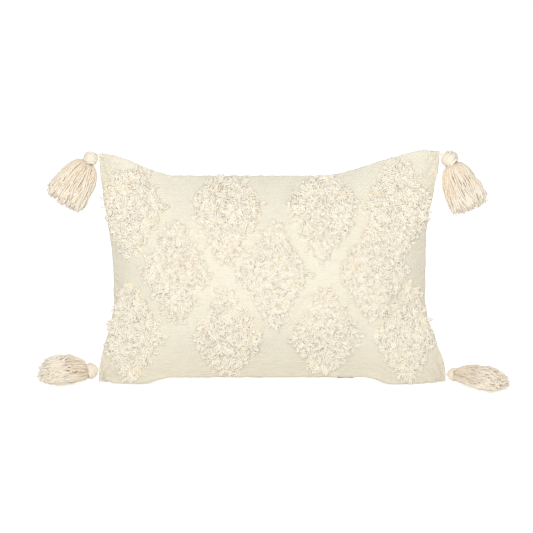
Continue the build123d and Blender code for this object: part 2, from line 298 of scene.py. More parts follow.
def transport(centres):
    """Tangents and two cross directions along many lines at once."""
    tangent = np.gradient(centres, axis=1)
    tangent /= np.maximum(np.linalg.norm(tangent, axis=2, keepdims=True), 1e-9)
    first = np.cross(tangent[:, 0], np.array([0.31, 0.52, 0.79]))
    first /= np.maximum(np.linalg.norm(first, axis=1, keepdims=True), 1e-9)
    side = np.zeros_like(centres)
    for r in range(centres.shape[1]):
        first = first - tangent[:, r] * np.sum(first * tangent[:, r], axis=1, keepdims=True)
        first /= np.maximum(np.linalg.norm(first, axis=1, keepdims=True), 1e-9)
        side[:, r] = first
    return tangent, side, np.cross(tangent, side)


def tubes(centres, radii, sides, lobes=0, depth=0.0, twist=0.0):
    """Closed tubes along many lines; with lobes they are plied yarn, turning by twist in radians per mm."""
    strands, rings = centres.shape[:2]
    _, side, other = transport(centres)
    run = distance_run(centres, 1)
    angle = np.linspace(0, 2 * np.pi, sides, endpoint=False)[None, None, :]
    radius = radii[..., None] * np.ones(sides)
    if lobes:
        radius = radius * (1 + depth * np.cos(lobes * (angle - twist * run[..., None])))
    points = (
        centres[:, :, None]
        + side[:, :, None] * (np.cos(angle) * radius)[..., None]
        + other[:, :, None] * (np.sin(angle) * radius)[..., None]
    )
    index = np.arange(strands * rings * sides).reshape(strands, rings, sides)
    after = np.roll(index, -1, axis=2)
    quads = np.stack([index[:, :-1], after[:, :-1], after[:, 1:], index[:, 1:]], axis=-1).reshape(-1, 4)
    return points.reshape(-1, 3), [quads, index[:, 0, ::-1], index[:, -1]]


def join(parts):
    """One set of points and faces from several."""
    points, faces, start = [], [], 0
    for p, fs in parts:
        points.append(p)
        faces += [f + start for f in fs]
        start += len(p)
    return np.vstack(points), faces


# ---- materials ----

def linear(r, g, b):
    """A colour given in sRGB steps of 0 to 255, as the shaders take it."""
    shades = (((c / 255 + 0.055) / 1.055) ** 2.4 if c > 10 else c / 255 / 12.92 for c in (r, g, b))
    return (*shades, 1.0)


class Shader:
    """Short hands for building a procedural material."""

    def __init__(self, name, roughness=0.9, **fixed):
        self.material = bpy.data.materials.new(name)
        self.material.use_nodes = True
        self.tree = self.material.node_tree
        self.bsdf = self.tree.nodes["Principled BSDF"]
        self.bsdf.inputs["Roughness"].default_value = roughness
        for key, value in fixed.items():
            self.bsdf.inputs[key.replace("_", " ")].default_value = value

    def add(self, kind, **inputs):
        node = self.tree.nodes.new(kind)
        for key, value in inputs.items():
            self.put(node.inputs[key], value)
        return node

    def put(self, socket, value):
        if isinstance(value, bpy.types.NodeSocket):
            self.tree.links.new(value, socket)
        else:
            socket.default_value = value

    def maths(self, operation, a, b=0.0):
        node = self.tree.nodes.new("ShaderNodeMath")
        node.operation = operation
        self.put(node.inputs[0], a)
        self.put(node.inputs[1], b)
        return node.outputs[0]

    def attribute(self, name):
        node = self.tree.nodes.new("ShaderNodeAttribute")
        node.attribute_name = name
        return node

    def scaled(self, vector, x, y, z):
        node = self.tree.nodes.new("ShaderNodeVectorMath")
        node.operation = "MULTIPLY"
        self.put(node.inputs[0], vector)
        node.inputs[1].default_value = (x, y, z)
        return node.outputs[0]

    def noise(self, vector, scale, detail=2.0, roughness=0.5):
        node = self.add("ShaderNodeTexNoise", Vector=vector, Scale=scale, Detail=detail, Roughness=roughness)
        return node.outputs["Fac"]

    def mix(self, factor, a, b):
        node = self.tree.nodes.new("ShaderNodeMix")
        node.data_type = "RGBA"
        self.put(node.inputs[0], factor)
        self.put(node.inputs[6], a)
        self.put(node.inputs[7], b)
        return node.outputs[2]

    def spread(self, value, low, high):
        node = self.add("ShaderNodeMapRange", Value=value)
        node.inputs["From Min"].default_value = low
        node.inputs["From Max"].default_value = high
        return node.outputs[0]

    def bump(self, height, distance, strength=1.0):
        node = self.add("ShaderNodeBump", Height=height, Distance=distance, Strength=strength)
        self.put(self.bsdf.inputs["Normal"], node.outputs[0])

    def base(self, colour):
        self.put(self.bsdf.inputs["Base Color"], colour)
        return self.material


def weave_height(s, cloth, warp_pitch, weft_pitch):
    """Plain weave: warp and weft of these pitches, in mm, cross over and under."""
    parts = s.tree.nodes.new("ShaderNodeSeparateXYZ")
    s.put(parts.inputs[0], cloth)
    wobble = s.maths("MULTIPLY", s.noise(cloth, scale=0.16, detail=1.0), 2.2)
    u = s.maths("MULTIPLY", s.maths("ADD", parts.outputs[0], wobble), math.pi / warp_pitch)
    v = s.maths("MULTIPLY", s.maths("ADD", parts.outputs[1], wobble), math.pi / weft_pitch)
    crossing = s.maths("MULTIPLY", s.maths("SINE", u), s.maths("SINE", v))
    warp = s.maths("ABSOLUTE", s.maths("SINE", u))
    weft = s.maths("ABSOLUTE", s.maths("SINE", v))
    threads = s.maths("MULTIPLY", s.maths("ADD", warp, weft), 0.35)
    return s.maths("ADD", s.maths("MULTIPLY", crossing, 0.5), threads)


def ground_cloth():
    """Cream slub cotton; cloth is the place on the cloth, low is 1 near the ground and the sides, where the
    slubs swell and painted shade darkens the cloth.
    """
    s = Shader("ground_cloth", 0.94, Sheen_Weight=0.25, Sheen_Roughness=0.6, Specular_IOR_Level=0.2)
    cloth = s.attribute("cloth").outputs["Vector"]
    low = s.attribute("low").outputs["Fac"]
    slub = s.noise(s.scaled(cloth, 0.05, 0.6, 1.0), scale=1.0, detail=2.0, roughness=0.6)
    swelling = s.maths("ADD", s.maths("MULTIPLY", low, 3.0), 1.2)
    thick = s.maths("MULTIPLY", s.maths("SUBTRACT", slub, 0.5), swelling)
    weave = weave_height(s, cloth, warp_pitch=2.9, weft_pitch=3.6)
    s.bump(s.maths("ADD", weave, thick), distance=0.00045, strength=0.9)
    fleck = s.noise(s.scaled(cloth, 0.25, 0.9, 1.0), scale=1.0, detail=3.0, roughness=0.7)
    patch = s.noise(cloth, scale=0.012, detail=1.0)
    tone = s.mix(s.spread(fleck, 0.3, 0.75), GROUND_DARK, GROUND_LIGHT)
    # painted shade: darker in the hollows between the threads and at the thin places of the slubs
    tone = s.mix(s.maths("MULTIPLY", s.spread(weave, 0.3, -0.3), 0.7), tone, GROUND_HOLLOW_SHADE)
    tone = s.mix(s.maths("MULTIPLY", s.spread(slub, 0.5, 0.36), 0.35), tone, GROUND_HOLLOW_SHADE)
    tone = s.mix(s.maths("MULTIPLY", s.spread(patch, 0.45, 0.7), 0.25), tone, GROUND_DARK)
    # painted shade: the cloth turns darker where low is 1, near the ground and the sides
    tone = s.mix(s.maths("MULTIPLY", low, 0.4), tone, GROUND_PAINTED_SHADE)
    return s.base(tone)


def yarn(name, shaded_root, tip, dark):
    """Soft spun cotton; share runs from 0 at a strand's root to 1 at its tip, and the root end is darker as
    painted shade; tint is how dark it is, a strand's own tone, and painted shade on the tufts' bed and the
    tassels' cores.
    """
    s = Shader(name, 0.95, Sheen_Weight=0.3, Sheen_Roughness=0.5, Specular_IOR_Level=0.15)
    place = s.add("ShaderNodeTexCoord").outputs["Object"]
    share = s.attribute("share").outputs["Fac"]
    tint = s.attribute("tint").outputs["Fac"]
    fuzz = s.noise(place, scale=1100.0, detail=2.0, roughness=0.6)
    # painted shade: each strand is darker at its root end than at its tip
    tone = s.mix(s.spread(share, 0.05, 0.75), shaded_root, tip)
    tone = s.mix(s.maths("MULTIPLY", tint, 0.3), tone, dark)
    tone = s.mix(s.maths("MULTIPLY", s.spread(fuzz, 0.62, 0.4), 0.18), tone, dark)
    s.bump(fuzz, distance=0.0004, strength=0.6)
    return s.base(tone)


def simple_cloth(name, colour, dark, scale=900.0):
    """Cloth without a visible weave, flecked with a darker shade."""
    s = Shader(name, 0.92, Sheen_Weight=0.2, Specular_IOR_Level=0.2)
    place = s.add("ShaderNodeTexCoord").outputs["Object"]
    fleck = s.noise(place, scale, detail=3.0, roughness=0.6)
    s.bump(fleck, distance=0.0003, strength=0.6)
    return s.base(s.mix(s.spread(fleck, 0.35, 0.7), dark, colour))


def tape_cloth():
    s = Shader("zip_tape", 0.85, Sheen_Weight=0.2, Specular_IOR_Level=0.25)
    place = s.add("ShaderNodeTexCoord").outputs["Object"]
    wave = s.add("ShaderNodeTexWave", Vector=place, Scale=260.0, Distortion=1.5, Detail=1.0)
    s.bump(wave.outputs["Fac"], distance=0.0002, strength=0.7)
    return s.base(s.mix(wave.outputs["Fac"], linear(214, 203, 178), linear(232, 223, 201)))


def coil_plastic():
    s = Shader("zip_coil", 0.38, Specular_IOR_Level=0.5)
    place = s.add("ShaderNodeTexCoord").outputs["Object"]
    streak = s.noise(place, scale=500.0, detail=2.0)
    return s.base(s.mix(streak, linear(222, 212, 188), linear(236, 228, 208)))


def brass():
    s = Shader("zip_metal", 0.32, Metallic=1.0)
    place = s.add("ShaderNodeTexCoord").outputs["Object"]
    scratch = s.noise(s.scaled(place, 1.0, 6.0, 1.0), scale=900.0, detail=3.0, roughness=0.7)
    s.put(s.bsdf.inputs["Roughness"], s.maths("ADD", s.maths("MULTIPLY", scratch, 0.2), 0.24))
    s.bump(scratch, distance=0.00005, strength=0.4)
    return s.base(s.mix(scratch, linear(176, 140, 78), linear(206, 172, 104)))


GROUND_LIGHT = linear(244, 241, 227)
GROUND_DARK = linear(239, 233, 215)
# painted shade: the darker cloth tone near the ground and the sides
GROUND_PAINTED_SHADE = linear(224, 214, 193)
# painted shade: the darker tone in the hollows of the weave and the slubs
GROUND_HOLLOW_SHADE = linear(222, 211, 186)
# painted shade: the root colours are darker than the tips, and the dark colours also serve as painted shade
# on the tufts' bed and the tassels' cores
TUFT_TIP = linear(250, 247, 237)
TUFT_SHADED_ROOT = linear(250, 241, 224)
TUFT_DARK_AND_BED_SHADE = linear(247, 231, 203)
TASSEL_TIP = linear(249, 245, 234)
TASSEL_SHADED_ROOT = linear(248, 239, 222)
TASSEL_DARK_AND_CORE_SHADE = linear(240, 202, 152)

ground = ground_cloth()
tuft_yarn = yarn("tuft_yarn", TUFT_SHADED_ROOT, TUFT_TIP, TUFT_DARK_AND_BED_SHADE)
tassel_yarn = yarn("tassel_yarn", TASSEL_SHADED_ROOT, TASSEL_TIP, TASSEL_DARK_AND_CORE_SHADE)
lining = simple_cloth("lining_cloth", linear(238, 236, 230), linear(226, 223, 214))
fibre = simple_cloth("fill_fibre", linear(244, 243, 240), linear(232, 231, 226), scale=300.0)
tape = tape_cloth()
plastic = coil_plastic()
metal = brass()


# ---- cover ----

GATHERS = dict(height=1.1, reach=11.0, wave=19.0)
LUMPS = (dict(height=1.3, size=62.0, fade=45.0, seed=40), dict(height=0.35, size=17.0, fade=20.0, seed=44))
CORNER_FOLDS = dict(height=2.6, reach=34.0, wave=13.0)
# Where low rises, near the ground and the sides: the slubs swell there and painted shade darkens the cloth.
ROUGH_AND_SHADED_BELOW = 60.0
ROUGH_AND_SHADE_RUN = 40.0
ROUGH_AND_SHADED_AT_SIDES = 0.8


def wrinkles(grid, side):
    """Gathers at the seams and corners and soft lumps of the fill, along the normal."""
    nearest, s, t = edge_distance(grid)
    x, z = grid[..., 0], grid[..., 2]
    seam = np.exp(-nearest / GATHERS["reach"]) * ease(nearest / 3.5)
    near_side = np.minimum(s, s[:, -1:] - s) < np.minimum(t, t[-1:] - t)
    run = np.where(near_side, z, x)
    total = GATHERS["height"] * seam * ripple(run + 0.25 * nearest, 30 + side, GATHERS["wave"])
    for lump in LUMPS:
        swell = lump["height"] * lumps(x, z, lump["seed"] + side, lump["size"])
        total += swell * edge_fade(grid, lump["fade"])
    reach = CORNER_FOLDS["reach"]
    for k, (cx, cz) in enumerate(CORNERS):
        away = np.hypot(x - cx, z - cz)
        turn = np.arctan2(z - cz, x - cx) * reach
        strength = np.exp(-away / reach) * ease(away / 9.0) * ease(nearest / 3.0)
        total += CORNER_FOLDS["height"] * strength * ripple(turn, 50 + k + 5 * side, CORNER_FOLDS["wave"])
    return total


def cover(side, name, node):
    """One panel of the cover, a closed thin shell."""
    columns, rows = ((265, 185))
    grid = skin(columns, rows)
    normal = normals_of(grid)
    outer = grid + normal * wrinkles(grid, side)[..., None]
    outer[..., 2] = np.maximum(outer[..., 2], 0.2)
    inner = outer - normals_of(outer) * COVER_CLOTH
    _, s, t = edge_distance(grid)
    s = s - s[:, -1:] / 2
    cloth = np.stack([s, t, np.zeros_like(s)], axis=-1).reshape(-1, 3)
    x, z = grid[..., 0], grid[..., 2]
    # low: swollen slubs and painted shade near the ground and the sides
    from_side = np.minimum(x - left_x(z), right_x(z) - x)
    near_ground = ease((ROUGH_AND_SHADED_BELOW - z) / ROUGH_AND_SHADE_RUN)
    near_sides = ROUGH_AND_SHADED_AT_SIDES * ease((ROUGH_AND_SHADE_RUN - from_side) / ROUGH_AND_SHADE_RUN)
    low = np.maximum(near_ground, near_sides).ravel()
    points, faces = mirror(*shell(outer, inner), side)
    obj = new_piece(
        name, points, faces, ground, stands_for=[node],
        attributes={"cloth": np.vstack([cloth, cloth]), "low": np.r_[low, low]},
    )


def surface(x, z):
    """Points of the front and their outward normals."""
    across, up = shares(x, z)
    y = -half_loft(across, up)
    step = 0.5
    dx = -half_loft(*shares(x + step, z)) - -half_loft(*shares(x - step, z))
    dz = -half_loft(*shares(x, z + step)) - -half_loft(*shares(x, z - step))
    normal = np.stack([dx / (2 * step), -np.ones_like(x), dz / (2 * step)], axis=-1)
    normal /= np.linalg.norm(normal, axis=-1, keepdims=True)
    return np.stack([x, y, z], axis=-1), normal


# ---- tufts ----

BARE_ABOVE = (299.0, 312.0)  # left and right ear
TUFT_SPACING = 3.75
TUFT_LENGTH = (8.0, 11.5)
TUFT_EXTRA = 4.5  # for the tufts in the middle of a medallion
TUFT_LEAN = (1.2, 2.35)  # radians
PLIES = 3
PLY_SPREAD = 2.8
PLY_RADIUS = (0.9, 1.35)
BED_RISE = 2.8
# painted shade: the bed low among the tufts takes the darker root end and a high tint
BED_PAINTED_SHADE = {"share": 0.2, "tint": 0.9}


def bare_z(x):
    """Height above which the ears of the cover carry no tufts."""
    return np.where(x < 0, *BARE_ABOVE)


def medallion_roots(source, cx, cz, spacing=TUFT_SPACING):
    """Rows of tufts inside the pointed oval, a little irregular."""
    half_w, half_h = MEDALLION_HALF
    z = np.arange(cz - half_h, cz + half_h, spacing)
    x = np.arange(cx - half_w, cx + half_w, spacing)
    xx, zz = np.meshgrid(x, z)
    xx = xx + (np.arange(len(z)) % 2)[:, None] * spacing / 2
    xx = (xx + source.normal(0, 0.9, xx.shape)).ravel()
    zz = (zz + source.normal(0, 0.9, zz.shape)).ravel()
    width = half_w * np.interp(np.abs(zz - cz) / half_h, *MEDALLION_SHAPE)
    edge = source.normal(0, 2.0, xx.shape)
    inside = np.abs(xx - cx) < width + edge
    xx, zz = xx[inside], zz[inside]
    room = SEAM_ROOM["side"]
    clear = (xx > left_x(zz) + room) & (xx < right_x(zz) - room)
    clear &= zz < np.minimum(top_z(xx) - SEAM_ROOM["top"], bare_z(xx))
    clear &= zz > bottom_z(xx) + SEAM_ROOM["bottom"]
    return xx[clear], zz[clear]


def curls(source, roots, normal, lengths, rings, lean, bias=(0.0, 0.0, -0.35)):
    """Lines that rise from the cloth and bend over, each its own way."""
    count = len(roots)
    random = source.normal(0, 1, (count, 3)) + np.array(bias)
    flat = random - normal * np.sum(random * normal, axis=1, keepdims=True)
    flat /= np.linalg.norm(flat, axis=1, keepdims=True)
    other = np.cross(normal, flat)
    swirl = source.uniform(-1.9, 1.9, count)[:, None]
    bend = source.uniform(*lean, count)[:, None]
    phase = source.uniform(0, 6.28, count)[:, None]
    wave = source.uniform(0.4, 1.15, count)[:, None]
    lines = np.zeros((count, rings, 3))
    lines[:, 0] = roots - normal * 1.4
    for r in range(1, rings):
        s = r / (rings - 1)
        tangent = flat * np.cos(swirl * s) + other * np.sin(swirl * s)
        tilt = bend * s ** 0.8
        direction = normal * np.cos(tilt) + tangent * np.sin(tilt)
        lines[:, r] = lines[:, r - 1] + direction * (lengths[:, None] / (rings - 1))
    s = np.linspace(0, 1, rings)[None, :, None]
    turn = 2 * np.pi * 1.3 * s + phase[..., None]
    lines += (
        flat[:, None] * np.cos(turn) * wave[..., None] * s
        + other[:, None] * np.sin(turn) * wave[..., None] * s
    )
    return lines


def strand_attributes(source, strands, rings, sides):
    """The share along each strand and each strand's own tint, for all its points."""
    share = np.repeat(np.tile(np.linspace(0, 1, rings), strands), sides)
    tint = np.repeat(source.uniform(0, 1, strands) ** 2, rings * sides)
    return {"share": share, "tint": tint}


def splay(source, lines, plies, spread):
    """Each line as several plies that part towards the tip."""
    strands, rings = lines.shape[:2]
    _, side, other = transport(lines)
    s = np.linspace(0, 1, rings)[None, :, None]
    parted = []
    for k in range(plies):
        turn = 2 * np.pi * k / plies + source.uniform(-0.5, 0.5, strands)[:, None, None] + 2.6 * s
        reach = 0.75 + source.uniform(0.4, spread, strands)[:, None, None] * s ** 1.5
        parted.append(lines + (side * np.cos(turn) + other * np.sin(turn)) * reach)
    return np.concatenate(parted)


def pile_bed(source, cx, cz, seed):
    """The crowded feet of the tufts: a low lumpy mound on the cloth."""
    half_w, half_h = MEDALLION_HALF
    low = max(cz - half_h, float(bottom_z(cx)) + 8.0)
    high = min(cz + half_h, float(top_z(cx)) - 4.0, float(bare_z(cx)) - 2.0)
    t, u = np.meshgrid(np.linspace(0, 1, 44), np.linspace(-1, 1, 30), indexing="ij")
    z = low + (high - low) * t
    width = np.maximum(half_w * np.interp(np.abs(z - cz) / half_h, *MEDALLION_SHAPE) - 2.0, 2.0)
    left = np.maximum(cx - width, left_x(z) + 3.0)
    right = np.minimum(cx + width, right_x(z) - 3.0)
    x = left + (right - left) * (u + 1) / 2
    points, normal = surface(x, z)
    dome = BED_RISE * (1 - np.abs(u) ** 6) * (1 - np.abs(2 * t - 1) ** 10)
    rise = dome + 1.2 * lumps(x, z, seed, 3.2) - 0.5
    turned = np.array([1.0, -1.0, 1.0])
    top, under = (points + normal * rise[..., None]) * turned, (points - normal * 1.6) * turned
    return mirror(*shell(top, under), -1)


def medallion(name, node, cx, cz, seed):
    """One oval of three-ply cut tufts on their bed."""
    source = np.random.default_rng(seed)
    x, z = medallion_roots(source, cx, cz)
    roots, normal = surface(x, z)
    rings, sides = 9, 6
    inner = 1 - np.abs(x - cx) / MEDALLION_HALF[0] - np.abs(z - cz) / MEDALLION_HALF[1]
    lengths = source.uniform(*TUFT_LENGTH, len(x)) + TUFT_EXTRA * ease(inner * 2.5)
    tufts = curls(source, roots, normal, lengths, rings, TUFT_LEAN)
    lines = splay(source, tufts, PLIES, PLY_SPREAD)
    taper = np.interp(np.linspace(0, 1, rings), (0, 0.15, 0.6, 0.92, 1.0), (0.8, 1.0, 1.05, 0.9, 0.4))
    radii = source.uniform(*PLY_RADIUS, len(lines))[:, None] * taper[None]
    strands = tubes(lines, radii, sides)
    bed = pile_bed(source, cx, cz, seed)
    points, faces = join([strands, bed])
    attributes = strand_attributes(source, len(lines), rings, sides)
    # painted shade on the bed between the tufts
    for key, value in BED_PAINTED_SHADE.items():
        attributes[key] = np.r_[attributes[key], np.full(len(bed[0]), value)]
    new_piece(name, points, faces, tuft_yarn, stands_for=[node], attributes=attributes)


# ---- tassels ----

PROFILE_AT = (0, 0.08, 0.22, 0.45, 0.75, 1.0)
CONE = (0.05, 0.42, 0.64, 0.82, 0.95, 1.0)
PUFF = (0.1, 0.55, 0.78, 0.96, 1.0, 0.82)
LONG_PUFF = (0.1, 0.44, 0.66, 0.88, 1.0, 0.92)
YARN_RADIUS = (0.75, 1.15)
FIBRE_RADIUS = 0.3
# painted shade: the cores inside the skirt and the knot are tinted dark to stand for the shade between the
# strands
CORE_PAINTED_SHADE = 3.3
CORE_LENGTH = 0.72
CORE_WIDTH = ((0, 0.8, 1.0), (0.64, 0.6, 0.25))  # along the core, as shares of the skirt's reach
CORE_LIFT_MOST = 15.0
WRAP_THICK = 0.19  # a turn of the knot, as a share of its radius
CORD_RADIUS = 1.05
CORD_OFFSET = 0.95
CORD_TURN = 0.55  # radians per mm
SEAM_SINK = 4.0
KNOT_SINK = 4.5
# corner and knot are places; lean and yaw turn the axis, in degrees, below level and towards the front;
# fan is the skirt's half width and neck the same at the knot; blunt rounds its end, curl waves its strands.
TASSELS = {
    "top_left": dict(
        corner=(-233.5, 0, 321), knot=(-245.5, 0, 316.5), radius=10.4, side=-1, lean=57, yaw=0,
        neck=7.5, fan=28.0, length=66.0, profile=CONE, blunt=0.08, curl=1.0,
    ),
    "top_right": dict(
        corner=(238.6, 0, 323), knot=(252.4, 0, 315.8), radius=12.0, side=1, lean=66, yaw=0,
        neck=7.5, fan=26.0, length=66.0, profile=CONE, blunt=0.08, curl=1.0,
    ),
    "bottom_left": dict(
        corner=(-239.4, 0, 17.6), knot=(-251.2, 0, 15.4), radius=11.4, side=-1, lean=0, yaw=27,
        neck=10.0, fan=24.5, length=66.0, profile=PUFF, blunt=0.26, curl=1.7,
    ),
    "bottom_right": dict(
        corner=(252.4, 0, 10.2), knot=(263.8, 0, 10.2), radius=9.6, side=1, lean=1.5, yaw=50,
        neck=8.5, fan=20.5, length=85.0, profile=LONG_PUFF, blunt=0.14, curl=1.7,
    ),
}


def axes(tassel):
    """The skirt's axis and two directions across it."""
    lean, yaw = math.radians(tassel["lean"]), math.radians(tassel["yaw"])
    axis = np.array([
        tassel["side"] * math.cos(lean) * math.cos(yaw), -math.cos(lean) * math.sin(yaw), -math.sin(lean)
    ])
    first = np.cross(axis, [0.0, 1.0, 0.0])
    first /= np.linalg.norm(first)
    return axis, first, np.cross(axis, first)


def floor_up(lines, radii):
    """Lifts what would lie under the ground."""
    lines[..., 2] = np.maximum(lines[..., 2], radii + 0.2)
    return lines


def settle(lines, heights, reach):
    """Presses the under side together where the middle lies lower than the skirt is wide."""
    room = np.clip((heights - 2.0) / reach, 0.1, 1.0)
    fall = lines[..., 2] - heights
    lines[..., 2] = heights + np.where(fall < 0, fall * room, fall)
    return lines


def skirt(source, t, count=430, rings=13, sides=6):
    """Strands that leave the knot all round, swell out and end frayed."""
    axis, first, second = axes(t)
    start = np.array(t["knot"], float) + axis * (t["radius"] * 0.6)
    turn = source.uniform(0, 2 * np.pi, count)
    depth = np.sqrt(source.uniform(0.05, 1.0, count))
    length = (t["length"] + t["radius"] * 0.4) * source.uniform(0.82, 1.01, count)
    length *= 1 - t["blunt"] * depth ** 3
    s = np.linspace(0, 1, rings)
    belly = np.interp(s, PROFILE_AT, t["profile"])
    reach = t["neck"] * 0.7 + (t["fan"] + 1.5 - t["neck"] * 0.7) * belly
    along = s[None] * length[:, None]
    wave = t["curl"] * source.uniform(0.6, 2.2, count)[:, None] * ease(s[None] * 1.6)
    curl = turn[:, None] + source.normal(0, 0.3, count)[:, None] * s[None]
    rate = source.uniform(4, 12, (2, count))[..., None] * s
    out = depth[:, None] * reach[None] + wave * np.sin(rate[0] + turn[:, None] * 3)
    swing = wave * np.cos(rate[1] + turn[:, None] * 5)
    lines = (
        start
        + axis * along[..., None]
        + first * (np.cos(curl) * out - np.sin(curl) * swing)[..., None]
        + second * (np.sin(curl) * out + np.cos(curl) * swing)[..., None]
    )
    lines = settle(lines, start[2] + axis[2] * along, reach + 2.0)
    taper = np.interp(s, (0, 0.1, 0.7, 0.92, 1.0), (0.8, 1.0, 1.1, 1.6, 0.9))
    radii = source.uniform(*YARN_RADIUS, count)[:, None] * taper[None]
    fibres = frayed(source, lines[::10], fibres=1, begin=0.75)
    thin = np.full(fibres.shape[:2], FIBRE_RADIUS)
    yarns = tubes(floor_up(lines, radii), radii, sides)
    ends = tubes(floor_up(fibres, thin), thin, 4)
    short = s * CORE_LENGTH * (1 - t["blunt"])
    middle = start + axis * (short * t["length"])[:, None]
    inside = np.interp(short, s, reach) * np.interp(s, *CORE_WIDTH)
    centres = floor_up(middle[None], np.minimum(inside, CORE_LIFT_MOST)[None])
    core = tubes(centres, inside[None], 28, lobes=9, depth=0.06, twist=0.02)
    points, faces = join([yarns, ends, core])
    attributes = strand_attributes(source, count, rings, sides)
    # painted shade: the skirt's core takes the full dark tint
    for part, share, tint in ((ends, 1.0, 0.0), (core, 0.0, CORE_PAINTED_SHADE)):
        attributes["share"] = np.r_[attributes["share"], np.full(len(part[0]), share)]
        attributes["tint"] = np.r_[attributes["tint"], np.full(len(part[0]), tint)]
    return points, faces, attributes


def frayed(source, lines, fibres, begin, rings=6):
    """Fine fibres that spread from the last part of each line."""
    strands, count = lines.shape[:2]
    at = int(begin * (count - 1))
    origin = np.repeat(lines[:, at], fibres, axis=0)
    heading = np.repeat(lines[:, -1] - lines[:, at], fibres, axis=0)
    reach = np.linalg.norm(heading, axis=1)[:, None]
    drift = source.normal(0, 0.28, (strands * fibres, 3)) * reach
    s = np.linspace(0, 1, rings)[None, :, None]
    reach_out = source.uniform(0.9, 1.25, strands * fibres)[:, None, None]
    return origin[:, None] + (heading[:, None] * s + drift[:, None] * s ** 1.6) * reach_out


def knot(source, t, wraps=6, rings=40, sides=8):
    """A round core with turns of yarn laid over it at a slant."""
    axis, first, second = axes(t)
    centre, radius = np.array(t["knot"], float), t["radius"]
    thick = radius * WRAP_THICK
    turn = np.linspace(0, 2 * np.pi, rings)
    lines = np.zeros((wraps, rings, 3))
    for k in range(wraps):
        lift = (k + 0.5) / wraps * 2 - 1
        tilt = 0.5 + source.normal(0, 0.08)
        pole = axis * math.cos(tilt) + (first * 0.8 + second * 0.6) * math.sin(tilt)
        pole /= np.linalg.norm(pole)
        a = np.cross(pole, [0.2, 0.9, 0.3])
        a /= np.linalg.norm(a)
        b = np.cross(pole, a)
        ball = radius - thick
        height = lift * ball * 0.93
        ring = math.sqrt(max(ball ** 2 - height ** 2, 1.0))
        lines[k] = centre + pole * height + ring * (a * np.cos(turn)[:, None] + b * np.sin(turn)[:, None])
    radii = np.full((wraps, rings), thick) * source.uniform(0.9, 1.15, wraps)[:, None]
    radii[:, [0, -1]] *= 0.8
    strands = tubes(lines, radii, sides, lobes=2, depth=0.14, twist=0.9)
    core = sphere(centre, radius - thick * 1.45)
    collar = sphere(centre + axis * radius, t["neck"] * 0.98)
    points, faces = join([strands, core, collar])
    share = np.full(len(points), 0.8)
    tint = np.full(len(points), source.uniform(0.2, 0.5))
    # painted shade: the knot's inner ball takes the full dark tint
    tint[len(strands[0]):-len(collar[0])] = CORE_PAINTED_SHADE
    return points, faces, {"share": share, "tint": tint}


def sphere(centre, radius, rows=14, columns=24):
    """A closed ball with a small flat at each pole."""
    lat = np.linspace(-np.pi / 2 + 0.05, np.pi / 2 - 0.05, rows)
    lon = np.linspace(0, 2 * np.pi, columns, endpoint=False)
    out, up = np.cos(lat)[:, None], np.repeat(np.sin(lat)[:, None], columns, 1)
    points = np.stack([out * np.cos(lon), out * np.sin(lon), up], axis=-1) * radius + centre
    index = np.arange(rows * columns).reshape(rows, columns)
    after = np.roll(index, -1, axis=1)
    quads = np.stack([index[:-1], after[:-1], after[1:], index[1:]], axis=-1).reshape(-1, 4)
    return points.reshape(-1, 3), [quads, index[:1, ::-1], index[-1:]]


def loop(t, rings=24, sides=10):
    """Two plies of cord from the corner seam into the knot."""
    corner, centre = np.array(t["corner"], float), np.array(t["knot"], float)
    direction = (centre - corner) / np.linalg.norm(centre - corner)
    a = np.cross(direction, [0.0, 1.0, 0.0])
    b = np.cross(direction, a)
    begin, end = corner - direction * SEAM_SINK, centre - direction * (t["radius"] - KNOT_SINK)
    s = np.linspace(0, 1, rings)[:, None]
    reach = np.linalg.norm(end - begin)
    lines = []
    for phase in (0.0, math.pi):
        turn = s * reach * CORD_TURN + phase
        lines.append(begin + (end - begin) * s + CORD_OFFSET * (a * np.cos(turn) + b * np.sin(turn)))
    lines = np.array(lines)
    points, faces = tubes(lines, np.full((2, rings), CORD_RADIUS), sides, lobes=3, depth=0.12, twist=0.8)
    return points, faces, {"share": np.full(len(points), 0.8), "tint": np.full(len(points), 0.2)}


def tassel(corner, seed):
    """The loop, knot and skirt of one corner."""
    source = np.random.default_rng(seed)
    t = TASSELS[corner]
    parts = {"loop": loop(t), "knot": knot(source, t), "skirt": skirt(source, t)}
    for part, (points, faces, attributes) in parts.items():
        body = "loop" if part == "loop" else "tassel"
        new_piece(
            f"{part}_{corner}", points, faces, tassel_yarn, body=f"{body}_{corner}",
            stands_for=[f"tassel_{part}_{corner}"], attributes=attributes,
        )


# ---- zip and filling ----

def zip_coil(side, node):
    """A plastic coil sewn along the tape's inner edge."""
    low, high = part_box(node)
    low, high = np.array(low) / MM, np.array(high) / MM
    pitch, points_a_turn, wire = 1.5, 10, 0.34
    turns = int((high[0] - low[0]) / pitch)
    count = turns * points_a_turn + 1
    angle = np.linspace(0, 2 * np.pi * turns, count)
    middle = (low + high) / 2
    wide, tall = (high[1] - low[1]) / 2 - 0.36, (high[2] - low[2]) / 2 - 0.36
    x = np.linspace(low[0] + 0.4, high[0] - 0.4, count)
    line = np.stack([x, middle[1] + wide * np.cos(angle), middle[2] + tall * np.sin(angle)], axis=1)
    points, faces = tubes(line[None], np.full((1, count), wire), 6)
    new_piece(f"coil_{side}", points, faces, plastic, stands_for=[node], place=False)


